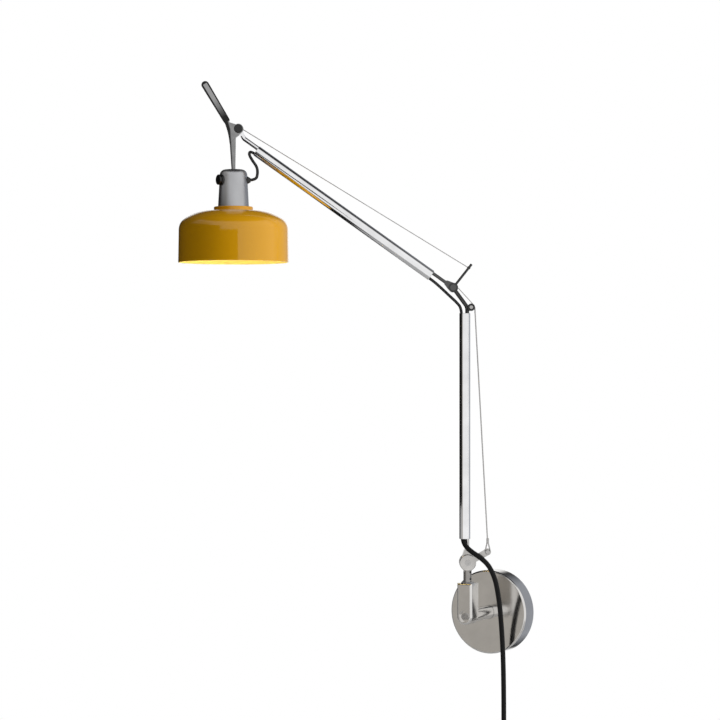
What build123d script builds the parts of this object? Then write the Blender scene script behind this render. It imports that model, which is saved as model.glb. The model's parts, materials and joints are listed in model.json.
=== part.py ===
from build123d import *
import os
from math import cos, hypot, pi, radians, sin, sqrt, tan

# Articulating wall lamp, millimetres.
# Origin: centre of the wall plate's back, on the wall. +Z up, +Y into the wall, room on -Y.
# The arm plane is the local XZ plane of the swivel frame: local -X is the way the arm reaches.

# ---------------------------------------------------------------- driving dimensions
CLEAR = 0.3            # gap between pieces that pass each other
RUN_FIT = 0.05         # radial gap of a pin turning in its hole
STAND_OFF = 92.0       # wall to swivel axis
SWIVEL_REST = 30.0     # arm plane turned out from the wall at rest, degrees

# wall plate
PLATE_R = 61.5
PLATE_DEPTH = 27.0
PLATE_WALL = 2.0
PLATE_EDGE = 2.5
BACKPLATE_T = 2.5
BACKPLATE_RIM = 14.0   # depth of the hidden plate's rim
WALL_HOLE_R = 2.6
WALL_HOLE_PCD = 70.0
GRUB_R = 2.5
GRUB_LENGTH = 5.0

# bracket
BAR_R = 10.0
BLOCK_W = 24.0
BLOCK_DEPTH = 22.0
BLOCK_TOP = 48.0
BLOCK_EDGE = 3.0
BUSH_R = 7.0
BUSH_FOOT = 8.0
BUSH_FLANGE_R = 9.0
BUSH_FLANGE_T = 1.5
BUSH_TOP = BLOCK_TOP + BUSH_FLANGE_T
PIN_R = 5.0
PIN_FOOT = 10.0
SPIGOT_R = 6.0         # the bar's end in the wall plate's hub
SPIGOT_LENGTH = 10.0
HUB_WALL = 8.0
HUB_SCREW_R = 2.0
HUB_SCREW_DEPTH = 9.0  # from the wall
BRACKET_SCREW_R = 3.0
BRACKET_SCREW_HEAD_R = 5.0
BRACKET_SCREW_HEAD = 3.6
BRACKET_SCREW_BITE = 14.0
SPOT_R = 8.5           # spot face round the bracket screw
SPOT_DEPTH = 4.0

# lower joint
HINGE_Z = 78.0
ROD_R = 6.0
EYE_R = 10.0
EYE_T = 8.0
CHEEK_R = 10.0
CHEEK_T = 3.5
HINGE_BOLT_R = 3.0
DISC_R = 12.0
DISC_T = 3.6
DISC_EDGE = 0.8
BOLT_HEAD = 2.0
BOLT_HEAD_R = 4.4
POST_GRUB_HEIGHTS = (54.0, 64.0)
POST_GRUB_TURN = 40.0
POST_GRUB_R = 1.5
POST_GRUB_DEPTH = 3.0
CLEVIS_THROAT = 11.0   # hinge to the clevis bridge
CLEVIS_BRIDGE = 8.0
CLEVIS_NECK_R = 6.0
LEVER_BAR_R = 4.2
LEVER_REACH = 28.5
LEVER_RISE = 16.0
LEVER_EYE_R = 5.0
HOOK_PIN_R = 1.5
HOOK_PIN_LENGTH = 5.0

# lower arm
TUBE_R = 8.0
TUBE_WALL = 1.0
TUBE_OFFSET = 4.0      # the tube's axis beside the rod that carries it
LOWER_TUBE_FOOT = 112.0
LOWER_TUBE_LENGTH = 327.0
ARM_ROD_R = 2.4
PLUG_LENGTH = 14.0
PLUG_INSET = 6.0       # from the tube's mouth to its plug
CORD_SIDE = 3.2        # supply cord beside the tube's axis
LEAD_SIDE = 4.7        # thin lead beside the tube's axis
SPRING_R = 3.9
SPRING_WIRE = 1.0
SPRING_SIDE = 2.8
SPRING_LOW = 60.0
SPRING_HIGH = 200.0
BEND_SIDE = -0.5       # elbow bar beside the swivel axis
BEND_RISE = 9.0        # straight stretch of the elbow bar above the tube
BEND_ROD_R = 2.9
BEND_RADIUS = 12.0
ELBOW_SIDE = 21.0      # elbow hinge, towards the shade from the swivel axis
ELBOW_RISE = 37.0      # elbow hinge above the lower tube's top
ELBOW_EYE_R = 6.8
ELBOW_EYE_T = 6.0
ELBOW_CHEEK_T = 2.4
ELBOW_BOLT_R = 2.2
ELBOW_THROAT = 8.0     # elbow hinge to its clevis bridge
ELBOW_BRIDGE = 6.0
ELBOW_NECK_R = 4.0
KNOB_R = 7.0
KNOB_T = 3.0
PULLEY_R = 5.4
PULLEY_T = 3.6
PULLEY_GROOVE = 1.2
PULLEY_PIN_R = 1.5
TAB_T = 3.0
PEG_R = 1.2
PULLEY_SIDE = 5.0      # pulley centre beside the swivel axis
PULLEY_RISE = 8.5      # above the lower tube's top
PULLEY_SET = 1.2       # pulley in front of the upper lever's plane

# upper lever and wires
UPPER_LEVER_R = 1.8
UPPER_LEVER_LENGTH = 43.0
UPPER_LEVER_LEAN = 38.2
UPPER_HOOK_AT = 36.0
WIRE_R = 0.6
LOOP_WIRE_R = 0.9
LOOP_RISE = 13.0       # from the hook pin to the loop's closed top
LOOP_HALF = 3.6
LOOP_DROP = 2.7
FERRULE = 7.0

# upper arm
UPPER_LIFT = 35.5      # upper arm above horizontal at rest, degrees
UPPER_TUBE_START = 36.0
UPPER_TUBE_LENGTH = 311.0
HEAD_OVERHANG = 40.0   # upper tube's end to head pivot, along the arm
HEAD_RISE = 6.8        # head pivot above the rod line
HEAD_EYE_R = 5.2
HEAD_EYE_T = 3.0
HEAD_ROD_R = 3.2
HEAD_BEND_BACK = 15.0  # from the head pivot back to where its rod turns up

# head
HEAD_T = 9.0
HANDLE_T = 6.0
HANDLE_TIP = (-48.0, 63.5)
HANDLE_NECK = (-17.5, 12.5)
HANDLE_TIP_R = 5.6
HANDLE_NECK_R = 4.8
HANDLE_RIM = 1.8
GROOVE_DEPTH = 0.8
WEB_LEFT = (-22.4, 14.2)
WEB_WAIST = (-16.3, -2.0)
WEB_FOOT = (-12.7, -21.3)
WEB_TOP = (-12.3, 9.1)
BOSS_R = 7.2
SLOT_R = 11.0
STEM_T = 6.0
STEM_TOP_W = 9.0
STEM_FOOT_W = 5.6
STEM_BITE = 4.0        # how far the stem runs into what it joins
STUD_R = 2.6
STUD_LENGTH = 36.0
NUT_T = 4.0
HEAD_BOLT_R = 2.0
HEAD_KNOB_R = 6.2
HEAD_KNOB_T = 4.0
SHADE_AXIS = 7.2       # lamp axis beside the head pivot
STEM_DROP = 59.0       # head pivot to the cup's top
CUP_HEIGHT = 54.0
CUP_R = 22.4
CUP_TOP_R = 20.0
CUP_SHOULDER = 8.0
CUP_WALL = 1.4
RING_R = 28.4
RING_HEIGHT = 5.5
SHADE_R = 80.0
SHADE_HEIGHT = 75.0
SHADE_SIDE = 46.0      # height of the near-straight side
SHADE_CROWN_R = 30.0   # flat crown inside the shoulder
SHADE_LEAN = 0.7       # the side widens by this much down to the rim
SHADE_WALL = 1.2
HOLDER_R = 17.5
HOLDER_TOP = 30.0      # holder below the cup's top
HOLDER_LENGTH = 40.0
HOLDER_BORE_R = 13.6
SHADE_NUT_R = 24.0
SHADE_NUT_T = 5.0
BULB_R = 21.0
BULB_NECK_R = 11.5
BULB_DROP = 98.0       # globe's centre below the cup's top
BULB_CAP_R = 12.8
BULB_CAP_LENGTH = 26.0
BUTTON_R = 6.7
BUTTON_HEAD_R = 7.5
BUTTON_HEAD_T = 2.0
BUTTON_TRAVEL = 1.5
BUTTON_TURN = 210.0    # round the cup, degrees from local +X
SWITCH_R = 8.2
SWITCH_DEPTH = 13.0    # switch barrel's length along the button's axis
SWITCH_PROUD = 1.2
GLAND_R = 4.0
GLAND_CONE_R = 6.0
GLAND_TIP_R = 2.9
GLAND_LENGTH = 4.0
FITTING_DROP = 15.5    # button and gland below the cup's top

# cords
SUPPLY_R = 3.6
LEAD_R = 2.1
PLUMB = (54.4, 29.7)   # where the supply cord hangs, in the swivel frame
COIL_R = 50.0
COIL_PITCH = 7.7       # from turn to turn and from layer to layer
LEAD_EXIT = 7.0        # straight stretch of a lead past a tube's mouth
ELBOW_LEAD = ((-15.5, 15.5), (-26.5, 25.5), (-38, 36.5))   # above the lower tube's top
HEAD_LEAD = ((14.8, -36.6), (20.5, -46.5), (26.8, -55), (28, -64.5), (25.3, -74.5))
COIL_TURNS = 3         # in each of the two layers
COIL_Z = -215.0
TAIL = 62.0            # cord below the coil, to the plug
TIE_WIDTH = 9.0
TIE_T = 1.5
PLUG_R = 17.0
PLUG_BODY = 32.0
PLUG_PIN_R = 2.3
PLUG_PIN_LENGTH = 19.0
PLUG_PIN_PITCH = 19.0

# ---------------------------------------------------------------- places and frames
SWIVEL = Pos(0, -STAND_OFF, 0) * Rot(0, 0, SWIVEL_REST)
LOWER_TUBE_TOP = LOWER_TUBE_FOOT + LOWER_TUBE_LENGTH
ELBOW = (-ELBOW_SIDE, LOWER_TUBE_TOP + ELBOW_RISE)
UPPER = SWIVEL * Pos(ELBOW[0], 0, ELBOW[1]) * Rot(0, 0, 180) * Rot(0, -UPPER_LIFT, 0)
PULLEY = (PULLEY_SIDE, LOWER_TUBE_TOP + PULLEY_RISE)
LEVER_END = (LEVER_REACH, HINGE_Z + LEVER_RISE)
LEVER_DIR = (sin(radians(UPPER_LEVER_LEAN)), cos(radians(UPPER_LEVER_LEAN)))
UPPER_HOOK = (ELBOW[0] + UPPER_HOOK_AT * LEVER_DIR[0], ELBOW[1] + UPPER_HOOK_AT * LEVER_DIR[1])
LIFT_COS = cos(radians(UPPER_LIFT))
LIFT_SIN = sin(radians(UPPER_LIFT))
HEAD_REACH = UPPER_TUBE_START + UPPER_TUBE_LENGTH + HEAD_OVERHANG
HEAD = (
    ELBOW[0] - HEAD_REACH * LIFT_COS + HEAD_RISE * LIFT_SIN,
    ELBOW[1] + HEAD_REACH * LIFT_SIN + HEAD_RISE * LIFT_COS,
)
HEAD_FRAME = SWIVEL * Pos(HEAD[0], 0, HEAD[1])
LAMP_AXIS = HEAD_FRAME * Pos(-SHADE_AXIS, 0, -STEM_DROP)   # origin on the cup's top

# stack across the lower joint, from the eye outwards
CHEEK_IN = EYE_T / 2 + CLEAR
CHEEK_OUT = CHEEK_IN + CHEEK_T
DISC_IN = CHEEK_OUT + CLEAR
DISC_OUT = DISC_IN + DISC_T
# stack across the elbow
ELBOW_CHEEK_IN = ELBOW_EYE_T / 2 + CLEAR
ELBOW_CHEEK_OUT = ELBOW_CHEEK_IN + ELBOW_CHEEK_T
KNOB_IN = ELBOW_CHEEK_OUT + CLEAR
KNOB_OUT = KNOB_IN + KNOB_T
HOOK_Y = -(DISC_OUT + HOOK_PIN_LENGTH / 2)
UPPER_WIRE_Y = -(KNOB_IN + KNOB_T / 2)
PULLEY_Y = UPPER_WIRE_Y - PULLEY_SET

PARTS = {}


# ---------------------------------------------------------------- helpers
def slab(outline, low, high):
    """An outline in the XZ plane, given thickness from Y = low to Y = high."""
    face = Plane(origin=(0, high, 0), x_dir=(1, 0, 0), z_dir=(0, -1, 0)) * outline
    return extrude(face, amount=high - low, dir=(0, -1, 0))


def cross_pin(x, z, radius, low, high):
    """A round pin along Y."""
    return slab(Pos(x, z) * Circle(radius), low, high)


def link(a, radius_a, b, radius_b, low, high):
    """Two round ends and the tangents between them."""
    ends = (Pos(*a) * Circle(radius_a)).edges() + (Pos(*b) * Circle(radius_b)).edges()
    return slab(make_hull(ends), low, high)


def rod(start, end, radius):
    """A round bar between two points."""
    line = Line(start, end)
    return sweep(Plane(origin=start, z_dir=line % 0) * Circle(radius), path=line)


def tube_along(path, radius):
    """A round tube of one piece along a smooth path."""
    return sweep(Plane(origin=path @ 0, z_dir=path % 0) * Circle(radius), path=path)


def upright(radius, low, high):
    """A cylinder on the Z axis."""
    return Pos(0, 0, low) * extrude(Circle(radius), amount=high - low)


def keep(name, *solids):
    """Stores a named sub-part."""
    PARTS[name] = solids[0] if len(solids) == 1 else Compound(children=list(solids))


def turned(profile):
    """A profile in the XZ plane, revolved round Z."""
    return revolve(Plane.XZ * profile, axis=Axis.Z)


# ---------------------------------------------------------------- root body: wall side
BLOCK_FRONT = -STAND_OFF - BLOCK_DEPTH / 2
BLOCK_BACK = -STAND_OFF + BLOCK_DEPTH / 2
BACKPLATE_R = PLATE_R - PLATE_WALL - CLEAR


def toward_wall(radius, low, high, x=0.0, z=0.0):
    """A cylinder along Y between two depths."""
    return cross_pin(x, z, radius, low, high)


def wall_parts():
    shell = toward_wall(PLATE_R, -PLATE_DEPTH, 0)
    shell = fillet(shell.faces().sort_by(Axis.Y)[0].edges(), PLATE_EDGE)
    shell -= toward_wall(PLATE_R - PLATE_WALL, -PLATE_DEPTH + PLATE_WALL, 0)
    shell -= toward_wall(BAR_R + CLEAR, -PLATE_DEPTH, 0)
    grub_y = -BACKPLATE_RIM / 2
    grub_hole = Pos(0, grub_y, -PLATE_R) * extrude(Circle(GRUB_R + RUN_FIT), amount=GRUB_LENGTH + 1)
    keep("canopy", shell - grub_hole)

    plate = toward_wall(BACKPLATE_R, -BACKPLATE_RIM, 0)
    plate -= toward_wall(BACKPLATE_R - BACKPLATE_T, -BACKPLATE_RIM, -BACKPLATE_T)
    plate += toward_wall(SPIGOT_R + HUB_WALL, -BACKPLATE_RIM, -BACKPLATE_T)
    plate -= toward_wall(SPIGOT_R + RUN_FIT, -BACKPLATE_RIM, CLEAR - BACKPLATE_RIM + SPIGOT_LENGTH)
    plate -= Pos(0, -HUB_SCREW_DEPTH, 0) * upright(HUB_SCREW_R + RUN_FIT, 0, SPIGOT_R + HUB_WALL)
    for side in (-1, 1):
        plate -= toward_wall(WALL_HOLE_R, -BACKPLATE_RIM, 0, x=side * WALL_HOLE_PCD / 2)
    keep("wall_plate", plate - grub_hole)
    grub = Pos(0, grub_y, -PLATE_R + PLATE_EDGE / 5) * extrude(Circle(GRUB_R), amount=GRUB_LENGTH)
    socket = Pos(0, grub_y, -PLATE_R) * extrude(RegularPolygon(GRUB_R / 2, 6), amount=GRUB_LENGTH / 2)
    keep("canopy_grub_screw", grub - socket)


def bracket_parts():
    bar = toward_wall(BAR_R, BLOCK_BACK, -BACKPLATE_RIM)
    bar += toward_wall(SPIGOT_R, -BACKPLATE_RIM, SPIGOT_LENGTH - BACKPLATE_RIM)
    bar -= toward_wall(BRACKET_SCREW_R + RUN_FIT, BLOCK_BACK, BLOCK_BACK + BRACKET_SCREW_BITE)
    keep("wall_bar", bar)
    screw = upright(HUB_SCREW_R, SPIGOT_R, SPIGOT_R + HUB_WALL - 1)
    keep("hub_screw", Pos(0, -HUB_SCREW_DEPTH, 0) * screw)

    outline = Pos(0, BLOCK_TOP / 2) * Rectangle(BLOCK_W, BLOCK_TOP) + Circle(BLOCK_W / 2)
    block = slab(outline, BLOCK_FRONT, BLOCK_BACK)
    block = fillet(block.faces().sort_by(Axis.Y)[0].edges(), BLOCK_EDGE)
    bore = Pos(0, -STAND_OFF, 0) * upright(BUSH_R, BUSH_FOOT, BLOCK_TOP)
    block -= bore
    block -= toward_wall(SPOT_R, BLOCK_FRONT, BLOCK_FRONT + SPOT_DEPTH)
    block -= toward_wall(BRACKET_SCREW_R + RUN_FIT, BLOCK_FRONT, BLOCK_BACK)
    keep("swivel_block", block)
    head_foot = BLOCK_FRONT + SPOT_DEPTH
    screw = toward_wall(BRACKET_SCREW_R, head_foot, BLOCK_BACK + BRACKET_SCREW_BITE - 1)
    screw += toward_wall(BRACKET_SCREW_HEAD_R, head_foot - BRACKET_SCREW_HEAD, head_foot)
    hexagon = RegularPolygon(BRACKET_SCREW_R, 6)
    screw -= slab(hexagon, head_foot - BRACKET_SCREW_HEAD, head_foot - BRACKET_SCREW_HEAD / 3)
    keep("bracket_screw", screw)
    bush = upright(BUSH_R, BUSH_FOOT, BLOCK_TOP) + upright(BUSH_FLANGE_R, BLOCK_TOP, BUSH_TOP)
    bush -= upright(PIN_R + RUN_FIT, BUSH_FOOT, BUSH_TOP)
    keep("swivel_bush", Pos(0, -STAND_OFF, 0) * bush)


# ---------------------------------------------------------------- swivel body: post and lever
def swivel_parts():
    rod_top = HINGE_Z - CHEEK_R - CLEAR
    post = upright(PIN_R, PIN_FOOT, BUSH_TOP + CLEAR) + upright(ROD_R, BUSH_TOP + CLEAR, rod_top)
    post += link((0, HINGE_Z), EYE_R, (0, rod_top), ROD_R, -EYE_T / 2, EYE_T / 2)
    post -= cross_pin(0, HINGE_Z, HINGE_BOLT_R + RUN_FIT, -EYE_R, EYE_R)
    grubs = []
    for height in POST_GRUB_HEIGHTS:
        spot = Pos(0, 0, height) * Rot(0, 0, POST_GRUB_TURN) * Rot(90, 0, 0)
        post -= spot * Pos(0, 0, ROD_R - POST_GRUB_DEPTH) * extrude(Circle(POST_GRUB_R + RUN_FIT), amount=ROD_R)
        grub = Pos(0, 0, ROD_R - POST_GRUB_DEPTH) * extrude(Circle(POST_GRUB_R), amount=POST_GRUB_DEPTH / 2)
        grubs.append(SWIVEL * spot * grub)
    keep("swivel_post", SWIVEL * post)
    keep("post_grub_screws", *grubs)

    lever = cross_pin(0, HINGE_Z, DISC_R, -DISC_OUT, -DISC_IN)
    lever = chamfer(lever.faces().sort_by(Axis.Y)[0].edges(), DISC_EDGE)
    lever += link((0, HINGE_Z), LEVER_BAR_R, LEVER_END, LEVER_EYE_R, -DISC_OUT, -DISC_IN)
    lever -= cross_pin(0, HINGE_Z, HINGE_BOLT_R + RUN_FIT, -DISC_OUT, -DISC_IN)
    lever -= cross_pin(*LEVER_END, HOOK_PIN_R + RUN_FIT, -DISC_OUT, -DISC_IN)
    keep("lower_lever", SWIVEL * lever)
    disc = cross_pin(0, HINGE_Z, DISC_R, DISC_IN, DISC_OUT)
    disc = chamfer(disc.faces().sort_by(Axis.Y)[-1].edges(), DISC_EDGE)
    disc -= cross_pin(0, HINGE_Z, HINGE_BOLT_R + RUN_FIT, DISC_IN, DISC_OUT)
    keep("friction_disc", SWIVEL * disc)
    bolt = cross_pin(0, HINGE_Z, HINGE_BOLT_R, -DISC_OUT, DISC_OUT + BOLT_HEAD)
    bolt += cross_pin(0, HINGE_Z, BOLT_HEAD_R, -DISC_OUT - BOLT_HEAD, -DISC_OUT)
    socket = Pos(0, HINGE_Z) * RegularPolygon(BOLT_HEAD_R / 2, 6)
    bolt -= slab(socket, -DISC_OUT - BOLT_HEAD, -DISC_OUT - BOLT_HEAD / 3)
    keep("hinge_bolt", SWIVEL * bolt)
    nut = slab(Pos(0, HINGE_Z) * RegularPolygon(BOLT_HEAD_R, 6), DISC_OUT, DISC_OUT + BOLT_HEAD)
    nut -= cross_pin(0, HINGE_Z, HINGE_BOLT_R + RUN_FIT, DISC_OUT, DISC_OUT + BOLT_HEAD)
    keep("hinge_nut", SWIVEL * nut)
    pin = cross_pin(*LEVER_END, HOOK_PIN_R, -DISC_OUT - HOOK_PIN_LENGTH, -DISC_IN)
    pin += cross_pin(*LEVER_END, 2 * HOOK_PIN_R, -DISC_OUT - HOOK_PIN_LENGTH - 1, -DISC_OUT - HOOK_PIN_LENGTH)
    keep("hook_pin", SWIVEL * pin)


# ---------------------------------------------------------------- lower arm
def tube_plug(cord_side, rod_side, rod_radius):
    """The plug that holds a rod in a tube and lets the lead past; base on Z = 0, tube on the Z axis."""
    plug = upright(TUBE_R - TUBE_WALL - RUN_FIT, 0, PLUG_LENGTH)
    plug -= Pos(rod_side, 0, 0) * upright(rod_radius + RUN_FIT, 0, PLUG_LENGTH)
    slot = Pos(cord_side, 0) * Circle(SUPPLY_R + CLEAR) + Pos(2 * cord_side, 0) * Rectangle(-2 * cord_side, 2 * SUPPLY_R)
    return plug - extrude(slot, amount=PLUG_LENGTH)


def spring_in_tube(foot, top, coil_low, coil_high):
    """Close-wound spring with its two pull rods, on the Z axis."""
    coil = upright(SPRING_R, coil_low, coil_high) - upright(SPRING_R - SPRING_WIRE, coil_low + SPRING_WIRE, coil_high - SPRING_WIRE)
    return coil + upright(SPRING_WIRE, foot, coil_low) + upright(SPRING_WIRE, coil_high, top)


def arm_tube(length):
    """A plain tube on the Z axis with its edges broken."""
    tube = upright(TUBE_R, 0, length) - upright(TUBE_R - TUBE_WALL, 0, length)
    rims = tube.edges().filter_by(GeomType.CIRCLE).filter_by(lambda e: e.radius > TUBE_R - TUBE_WALL / 2)
    return chamfer(rims, TUBE_WALL / 4)


def clevis(eye_radius, cheek_in, cheek_out, throat, bridge, bolt_radius, neck_radius):
    """Two cheeks about the Y axis at the origin, joined above the throat; the arm leaves along +Z."""
    fork = link((0, 0), eye_radius, (0, throat + bridge / 2), neck_radius, -cheek_out, cheek_out)
    gap = slab(Pos(0, (throat - 2 * eye_radius) / 2) * Rectangle(4 * eye_radius, throat + 2 * eye_radius), -cheek_in, cheek_in)
    fork -= gap
    top = throat + bridge / 2 + neck_radius
    fork -= Pos(0, 0, throat + bridge) * extrude(Rectangle(4 * eye_radius, 4 * eye_radius), amount=top)
    return fork - cross_pin(0, 0, bolt_radius + RUN_FIT, -cheek_out, cheek_out)


def lower_arm_parts():
    axis = SWIVEL * Pos(-TUBE_OFFSET, 0, LOWER_TUBE_FOOT)
    keep("lower_tube", axis * arm_tube(LOWER_TUBE_LENGTH))
    foot_plug = Pos(0, 0, PLUG_INSET) * tube_plug(-CORD_SIDE, TUBE_OFFSET, ARM_ROD_R)
    keep("lower_foot_plug", axis * foot_plug)
    top_plug = Pos(0, 0, LOWER_TUBE_LENGTH - PLUG_INSET - PLUG_LENGTH) * tube_plug(-CORD_SIDE, BEND_SIDE + TUBE_OFFSET, BEND_ROD_R)
    keep("lower_top_plug", axis * top_plug)
    inner = LOWER_TUBE_LENGTH - PLUG_INSET - PLUG_LENGTH
    spring = spring_in_tube(PLUG_INSET + PLUG_LENGTH, inner, SPRING_LOW, SPRING_HIGH)
    keep("lower_spring", axis * Pos(SPRING_SIDE, 0, 0) * spring)

    hinge = SWIVEL * Pos(0, 0, HINGE_Z)
    fork = clevis(CHEEK_R, CHEEK_IN, CHEEK_OUT, CLEVIS_THROAT, CLEVIS_BRIDGE, HINGE_BOLT_R, CLEVIS_NECK_R)
    rod_top = LOWER_TUBE_FOOT - HINGE_Z + PLUG_INSET + PLUG_LENGTH
    fork += upright(ARM_ROD_R, CLEVIS_THROAT + CLEVIS_BRIDGE / 2, rod_top)
    keep("lower_clevis", hinge * fork)

    path = FilletPolyline(
        (BEND_SIDE, 0, LOWER_TUBE_TOP - PLUG_INSET - PLUG_LENGTH),
        (BEND_SIDE, 0, LOWER_TUBE_TOP + BEND_RISE),
        (ELBOW[0], 0, ELBOW[1]),
        radius=BEND_RADIUS,
    )
    bar = tube_along(path, BEND_ROD_R)
    bar += cross_pin(*ELBOW, ELBOW_EYE_R, -ELBOW_EYE_T / 2, ELBOW_EYE_T / 2)
    bar -= cross_pin(*ELBOW, ELBOW_BOLT_R + RUN_FIT, -ELBOW_EYE_T, ELBOW_EYE_T)
    tab = link((BEND_SIDE, LOWER_TUBE_TOP + PULLEY_RISE / 2), BEND_ROD_R, PULLEY, PULLEY_PIN_R + 1, -TAB_T / 2, TAB_T / 2)
    tab -= cross_pin(*PULLEY, PULLEY_PIN_R + RUN_FIT, -TAB_T, TAB_T)
    keep("elbow_bar", SWIVEL * (bar + tab))

    groove = Pos(PULLEY_R, 0) * Circle(PULLEY_GROOVE)
    rim = Pos(0, 0, -PULLEY_T / 2) * extrude(Circle(PULLEY_R), amount=PULLEY_T)
    rim -= revolve(Plane.XZ * groove, axis=Axis.Z)
    rim -= Pos(0, 0, -PULLEY_T / 2) * extrude(Circle(PULLEY_PIN_R + RUN_FIT), amount=PULLEY_T)
    keep("elbow_pulley", SWIVEL * Pos(PULLEY[0], PULLEY_Y, PULLEY[1]) * Rot(90, 0, 0) * rim)
    pin = cross_pin(*PULLEY, PULLEY_PIN_R, PULLEY_Y - PULLEY_T / 2 - CLEAR, TAB_T / 2)
    pin += cross_pin(*PULLEY, PULLEY_PIN_R + 1, PULLEY_Y - PULLEY_T / 2 - CLEAR - 1, PULLEY_Y - PULLEY_T / 2 - CLEAR)
    pin += cross_pin(*PULLEY, PULLEY_PIN_R + 1, PULLEY_Y + PULLEY_T / 2 + CLEAR, -TAB_T / 2)
    keep("pulley_pin", SWIVEL * pin)

    lever = cross_pin(*ELBOW, KNOB_R, -KNOB_OUT, -KNOB_IN)
    lever -= cross_pin(*ELBOW, ELBOW_BOLT_R + RUN_FIT, -KNOB_OUT, -KNOB_IN)
    tip = (ELBOW[0] + UPPER_LEVER_LENGTH * LEVER_DIR[0], ELBOW[1] + UPPER_LEVER_LENGTH * LEVER_DIR[1])
    root = KNOB_R * 0.75
    base = (ELBOW[0] + root * LEVER_DIR[0], ELBOW[1] + root * LEVER_DIR[1])
    lever += rod((base[0], UPPER_WIRE_Y, base[1]), (tip[0], UPPER_WIRE_Y, tip[1]), UPPER_LEVER_R)
    lever -= cross_pin(*ELBOW, ELBOW_BOLT_R + RUN_FIT, -KNOB_OUT - KNOB_T, -KNOB_IN)
    peg_end = UPPER_WIRE_Y - UPPER_LEVER_R - HOOK_PIN_LENGTH
    lever += cross_pin(*UPPER_HOOK, PEG_R, peg_end, UPPER_WIRE_Y)
    lever += cross_pin(*UPPER_HOOK, 2 * PEG_R, peg_end - 1, peg_end)
    keep("upper_lever", SWIVEL * lever)
    bolt = cross_pin(*ELBOW, ELBOW_BOLT_R, -KNOB_OUT, ELBOW_CHEEK_OUT + CLEAR)
    bolt += cross_pin(*ELBOW, 2 * ELBOW_BOLT_R, -KNOB_OUT - 1.5, -KNOB_OUT)
    bolt += cross_pin(*ELBOW, 2 * ELBOW_BOLT_R, ELBOW_CHEEK_OUT + CLEAR, ELBOW_CHEEK_OUT + CLEAR + 2)
    keep("elbow_bolt", SWIVEL * bolt)
    run = (ELBOW[0] - PULLEY[0], ELBOW[1] - PULLEY[1])
    span = hypot(*run)
    along = (run[0] / span, run[1] / span)
    across = (along[1], -along[0])
    reach = PULLEY_R - PULLEY_GROOVE + WIRE_R + RUN_FIT
    start = (PULLEY[0] + across[0] * reach, PULLEY[1] + across[1] * reach)
    length = span - sqrt((KNOB_R + CLEAR) ** 2 - reach**2)
    end = (start[0] + along[0] * length, start[1] + along[1] * length)
    keep("pulley_wire", SWIVEL * rod((start[0], PULLEY_Y, start[1]), (end[0], PULLEY_Y, end[1]), WIRE_R))


# ---------------------------------------------------------------- upper arm
def upper_arm_parts():
    along = UPPER * Rot(0, 90, 0) * Rot(0, 0, 180)      # local +Z runs up the arm, local +X is its upper side
    tube_axis = along * Pos(-TUBE_OFFSET, 0, UPPER_TUBE_START)
    keep("upper_tube", tube_axis * arm_tube(UPPER_TUBE_LENGTH))
    keep("upper_foot_plug", tube_axis * Pos(0, 0, PLUG_INSET) * tube_plug(-CORD_SIDE, TUBE_OFFSET, ARM_ROD_R))
    far = UPPER_TUBE_LENGTH - PLUG_INSET - PLUG_LENGTH
    keep("upper_top_plug", tube_axis * Pos(0, 0, far) * tube_plug(-CORD_SIDE, TUBE_OFFSET, HEAD_ROD_R))
    spring = spring_in_tube(PLUG_INSET + PLUG_LENGTH, far, SPRING_LOW, SPRING_HIGH)
    keep("upper_spring", tube_axis * Pos(SPRING_SIDE, 0, 0) * spring)

    fork = clevis(ELBOW_EYE_R, ELBOW_CHEEK_IN, ELBOW_CHEEK_OUT, ELBOW_THROAT, ELBOW_BRIDGE, ELBOW_BOLT_R, ELBOW_NECK_R)
    fork += upright(ARM_ROD_R, ELBOW_THROAT + ELBOW_BRIDGE / 2, UPPER_TUBE_START + PLUG_INSET + PLUG_LENGTH)
    keep("elbow_clevis", along * fork)

    bend = (HEAD_REACH - HEAD_BEND_BACK, 0)
    rise = hypot(HEAD_BEND_BACK, HEAD_RISE)
    lean = (HEAD_BEND_BACK / rise, HEAD_RISE / rise)
    reach = rise - SLOT_R - CLEAR
    path = FilletPolyline(
        (UPPER_TUBE_START + far, 0, 0),
        (bend[0], 0, 0),
        (bend[0] + lean[0] * reach, 0, lean[1] * reach),
        radius=HEAD_RISE / 2,
    )
    tongue = link((HEAD_REACH, HEAD_RISE), HEAD_EYE_R, bend, ARM_ROD_R, -HEAD_EYE_T / 2, HEAD_EYE_T / 2)
    head_rod = tube_along(path, HEAD_ROD_R) + tongue
    head_rod -= cross_pin(HEAD_REACH, HEAD_RISE, HEAD_BOLT_R + RUN_FIT, -HEAD_EYE_T, HEAD_EYE_T)
    keep("head_rod", UPPER * head_rod)


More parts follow.
